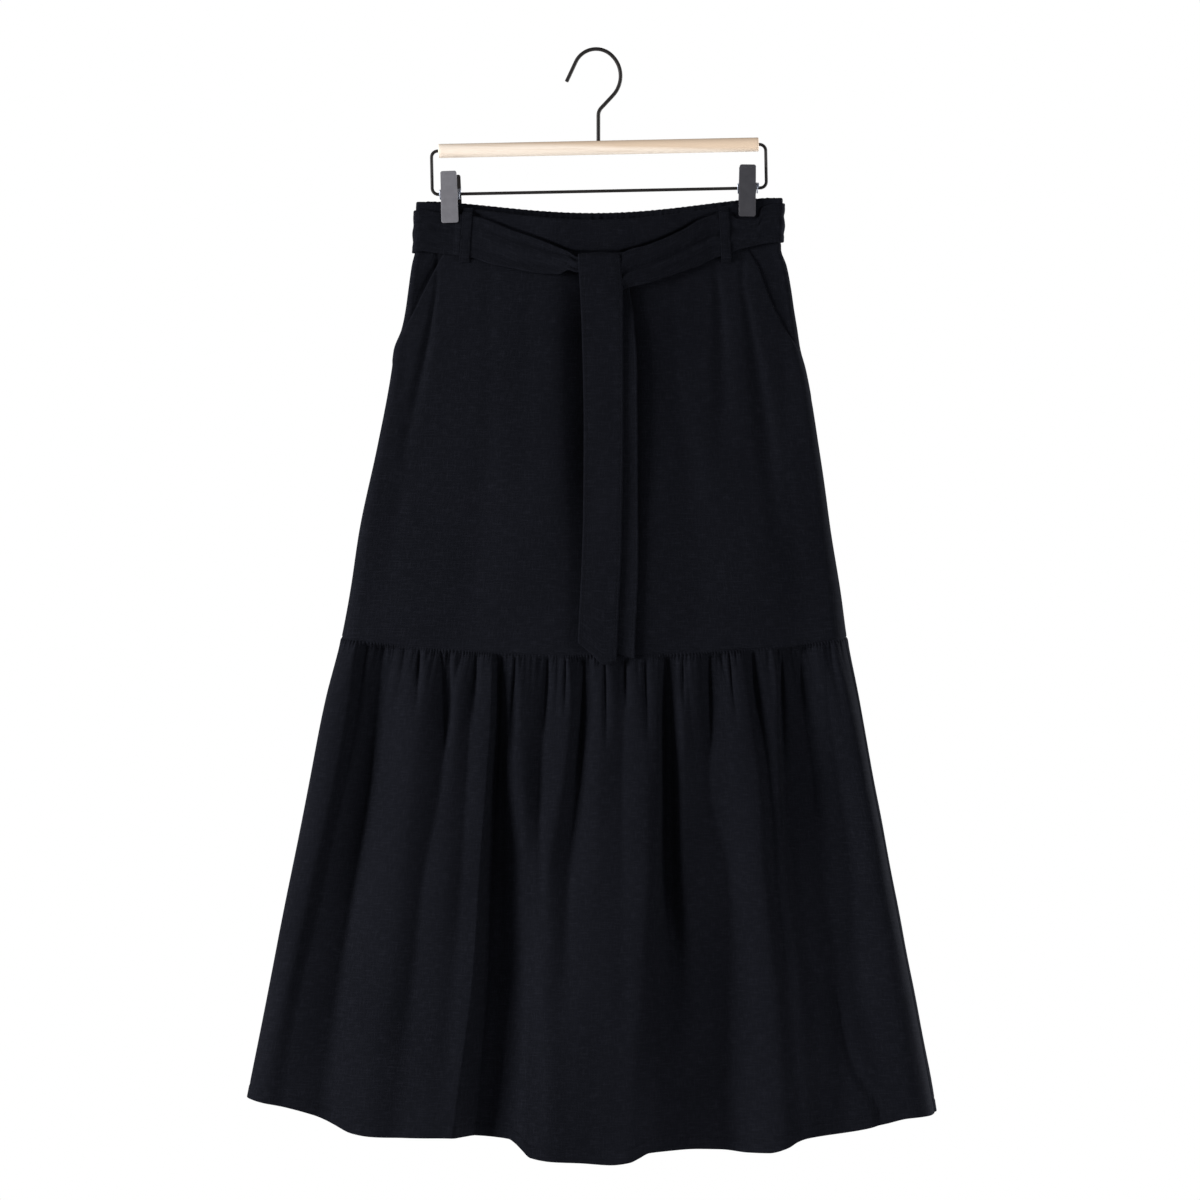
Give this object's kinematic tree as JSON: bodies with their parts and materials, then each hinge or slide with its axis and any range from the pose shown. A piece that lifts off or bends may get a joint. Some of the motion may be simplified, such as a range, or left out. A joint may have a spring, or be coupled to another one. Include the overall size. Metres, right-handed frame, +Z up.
{
  "type": "maxi skirt on a clip hanger",
  "caption": "Long A-line skirt with a gathered lower tier, slanted pockets and a tied sash, hung flat by its waistband from a wood and wire clip hanger.",
  "frame": {"origin": "inner top of the hanger's hook, where it hangs on its rail", "axes": "+Z up; the skirt's front faces -Y; +X runs across the skirt to the right of someone who looks at its front"},
  "size_m": [0.6891, 0.1322, 1.1088],
  "materials": {
    "cloth": "matte black linen-like plain weave with faint slubs",
    "wood": "pale satin-varnished straight grain",
    "wire": "near-black lacquered wire, satin",
    "clip": "dark grey satin metal"
  },
  "bodies": {
    "root": {"waistband_front": "cloth", "waistband_back": "cloth", "panel_front": "cloth", "panel_back": "cloth", "pocket_facing_left": "cloth", "pocket_facing_right": "cloth", "tier_front": "cloth", "tier_back": "cloth", "sash_front_left": "cloth", "sash_front_right": "cloth", "sash_side_left": "cloth", "sash_side_right": "cloth", "sash_back": "cloth", "sash_tail_front": "cloth", "sash_tail_back": "cloth", "loop_front_left": "cloth", "loop_front_right": "cloth", "loop_back_left": "cloth", "loop_back_right": "cloth", "hanger_bar": "wood", "hanger_frame": "wire", "hanger_hook": "wire", "clip_left_front": "clip", "clip_left_back": "clip", "clip_left_spring": "clip", "clip_right_front": "clip", "clip_right_back": "clip", "clip_right_spring": "clip"}
  },
  "joints": []
}
